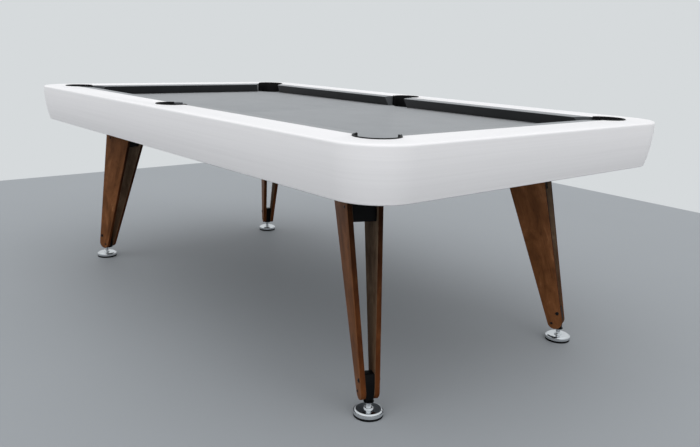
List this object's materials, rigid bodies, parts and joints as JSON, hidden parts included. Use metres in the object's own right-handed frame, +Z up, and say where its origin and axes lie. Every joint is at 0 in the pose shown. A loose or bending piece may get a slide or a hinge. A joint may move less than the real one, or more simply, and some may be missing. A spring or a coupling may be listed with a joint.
{
  "type": "pool table",
  "caption": "Pool table with a rounded white body, grey cloth bed and cushions, black pockets and splayed twin-board walnut legs on chromed levelling feet.",
  "frame": {"origin": "on the floor, under the middle of the table", "axes": "+X along the table's length to its right end, +Z up, front is -Y"},
  "size_m": [2.336, 1.346, 0.8086],
  "materials": {
    "white_lacquer": "satin white lacquer on shaped board",
    "grey_cloth": "woven wool cloth, napless",
    "cushion_cloth": "woven wool cloth over rubber",
    "slate_stone": "ground slate",
    "black_liner": "moulded black liner",
    "chassis_wood": "planed timber",
    "walnut": "satin walnut veneer",
    "black_steel": "satin black powder coat",
    "chrome": "polished chrome",
    "black_rubber": "moulded rubber"
  },
  "bodies": {
    "table": {"side_rail_back": "white_lacquer", "side_rail_front": "white_lacquer", "end_rail_right": "white_lacquer", "end_rail_left": "white_lacquer", "corner_back_right": "white_lacquer", "corner_back_left": "white_lacquer", "corner_front_left": "white_lacquer", "corner_front_right": "white_lacquer", "slate_bed": "slate_stone", "bed_cloth": "grey_cloth", "cushion_back_right": "cushion_cloth", "cushion_back_left": "cushion_cloth", "cushion_front_left": "cushion_cloth", "cushion_front_right": "cushion_cloth", "cushion_end_right": "cushion_cloth", "cushion_end_left": "cushion_cloth", "pocket_back_right": "black_liner", "pocket_back_middle": "black_liner", "pocket_back_left": "black_liner", "pocket_front_left": "black_liner", "pocket_front_middle": "black_liner", "pocket_front_right": "black_liner", "long_beam_front": "chassis_wood", "long_beam_back": "chassis_wood", "cross_beam_left": "chassis_wood", "cross_beam_mid_left": "chassis_wood", "cross_beam_mid_right": "chassis_wood", "cross_beam_right": "chassis_wood", "leg_back_right_board_left": "walnut", "leg_back_right_board_right": "walnut", "leg_back_right_bracket": "black_steel", "leg_back_right_block": "black_steel", "leg_back_right_bolt": "black_steel", "leg_back_left_board_left": "walnut", "leg_back_left_board_right": "walnut", "leg_back_left_bracket": "black_steel", "leg_back_left_block": "black_steel", "leg_back_left_bolt": "black_steel", "leg_front_left_board_left": "walnut", "leg_front_left_board_right": "walnut", "leg_front_left_bracket": "black_steel", "leg_front_left_block": "black_steel", "leg_front_left_bolt": "black_steel", "leg_front_right_board_left": "walnut", "leg_front_right_board_right": "walnut", "leg_front_right_bracket": "black_steel", "leg_front_right_block": "black_steel", "leg_front_right_bolt": "black_steel", "foot_back_right_collar": "black_steel", "foot_back_left_collar": "black_steel", "foot_front_left_collar": "black_steel", "foot_front_right_collar": "black_steel"},
    "pad_back_right": {"foot_back_right_pad": "black_rubber"},
    "disc_back_right": {"foot_back_right_disc": "chrome"},
    "pad_back_left": {"foot_back_left_pad": "black_rubber"},
    "disc_back_left": {"foot_back_left_disc": "chrome"},
    "pad_front_left": {"foot_front_left_pad": "black_rubber"},
    "disc_front_left": {"foot_front_left_disc": "chrome"},
    "pad_front_right": {"foot_front_right_pad": "black_rubber"},
    "disc_front_right": {"foot_front_right_disc": "chrome"}
  },
  "joints": [
    {"name": "foot_back_right_travel", "type": "slide", "parent": "table", "child": "pad_back_right", "axis": [0, 0, 1], "range_m": [-0.012, 0.012]},
    {"name": "foot_back_right_turn", "type": "hinge", "parent": "pad_back_right", "child": "disc_back_right", "pos_m": [0.958, 0.4613, 0.0208], "axis": [0, 0, 1], "range_deg": [-2165, 2165]},
    {"name": "foot_back_left_travel", "type": "slide", "parent": "table", "child": "pad_back_left", "axis": [0, 0, 1], "range_m": [-0.012, 0.012]},
    {"name": "foot_back_left_turn", "type": "hinge", "parent": "pad_back_left", "child": "disc_back_left", "pos_m": [-0.958, 0.4613, 0.0208], "axis": [0, 0, 1], "range_deg": [-2165, 2165]},
    {"name": "foot_front_left_travel", "type": "slide", "parent": "table", "child": "pad_front_left", "axis": [0, 0, 1], "range_m": [-0.012, 0.012]},
    {"name": "foot_front_left_turn", "type": "hinge", "parent": "pad_front_left", "child": "disc_front_left", "pos_m": [-0.958, -0.4613, 0.0208], "axis": [0, 0, 1], "range_deg": [-2165, 2165]},
    {"name": "foot_front_right_travel", "type": "slide", "parent": "table", "child": "pad_front_right", "axis": [0, 0, 1], "range_m": [-0.012, 0.012]},
    {"name": "foot_front_right_turn", "type": "hinge", "parent": "pad_front_right", "child": "disc_front_right", "pos_m": [0.958, -0.4613, 0.0208], "axis": [0, 0, 1], "range_deg": [-2165, 2165]}
  ],
  "couplings": [
    {"joint": "foot_back_right_turn", "follows": "foot_back_right_travel", "rad_per_m": 3141.6},
    {"joint": "foot_back_left_turn", "follows": "foot_back_left_travel", "rad_per_m": 3141.6},
    {"joint": "foot_front_left_turn", "follows": "foot_front_left_travel", "rad_per_m": 3141.6},
    {"joint": "foot_front_right_turn", "follows": "foot_front_right_travel", "rad_per_m": 3141.6}
  ]
}
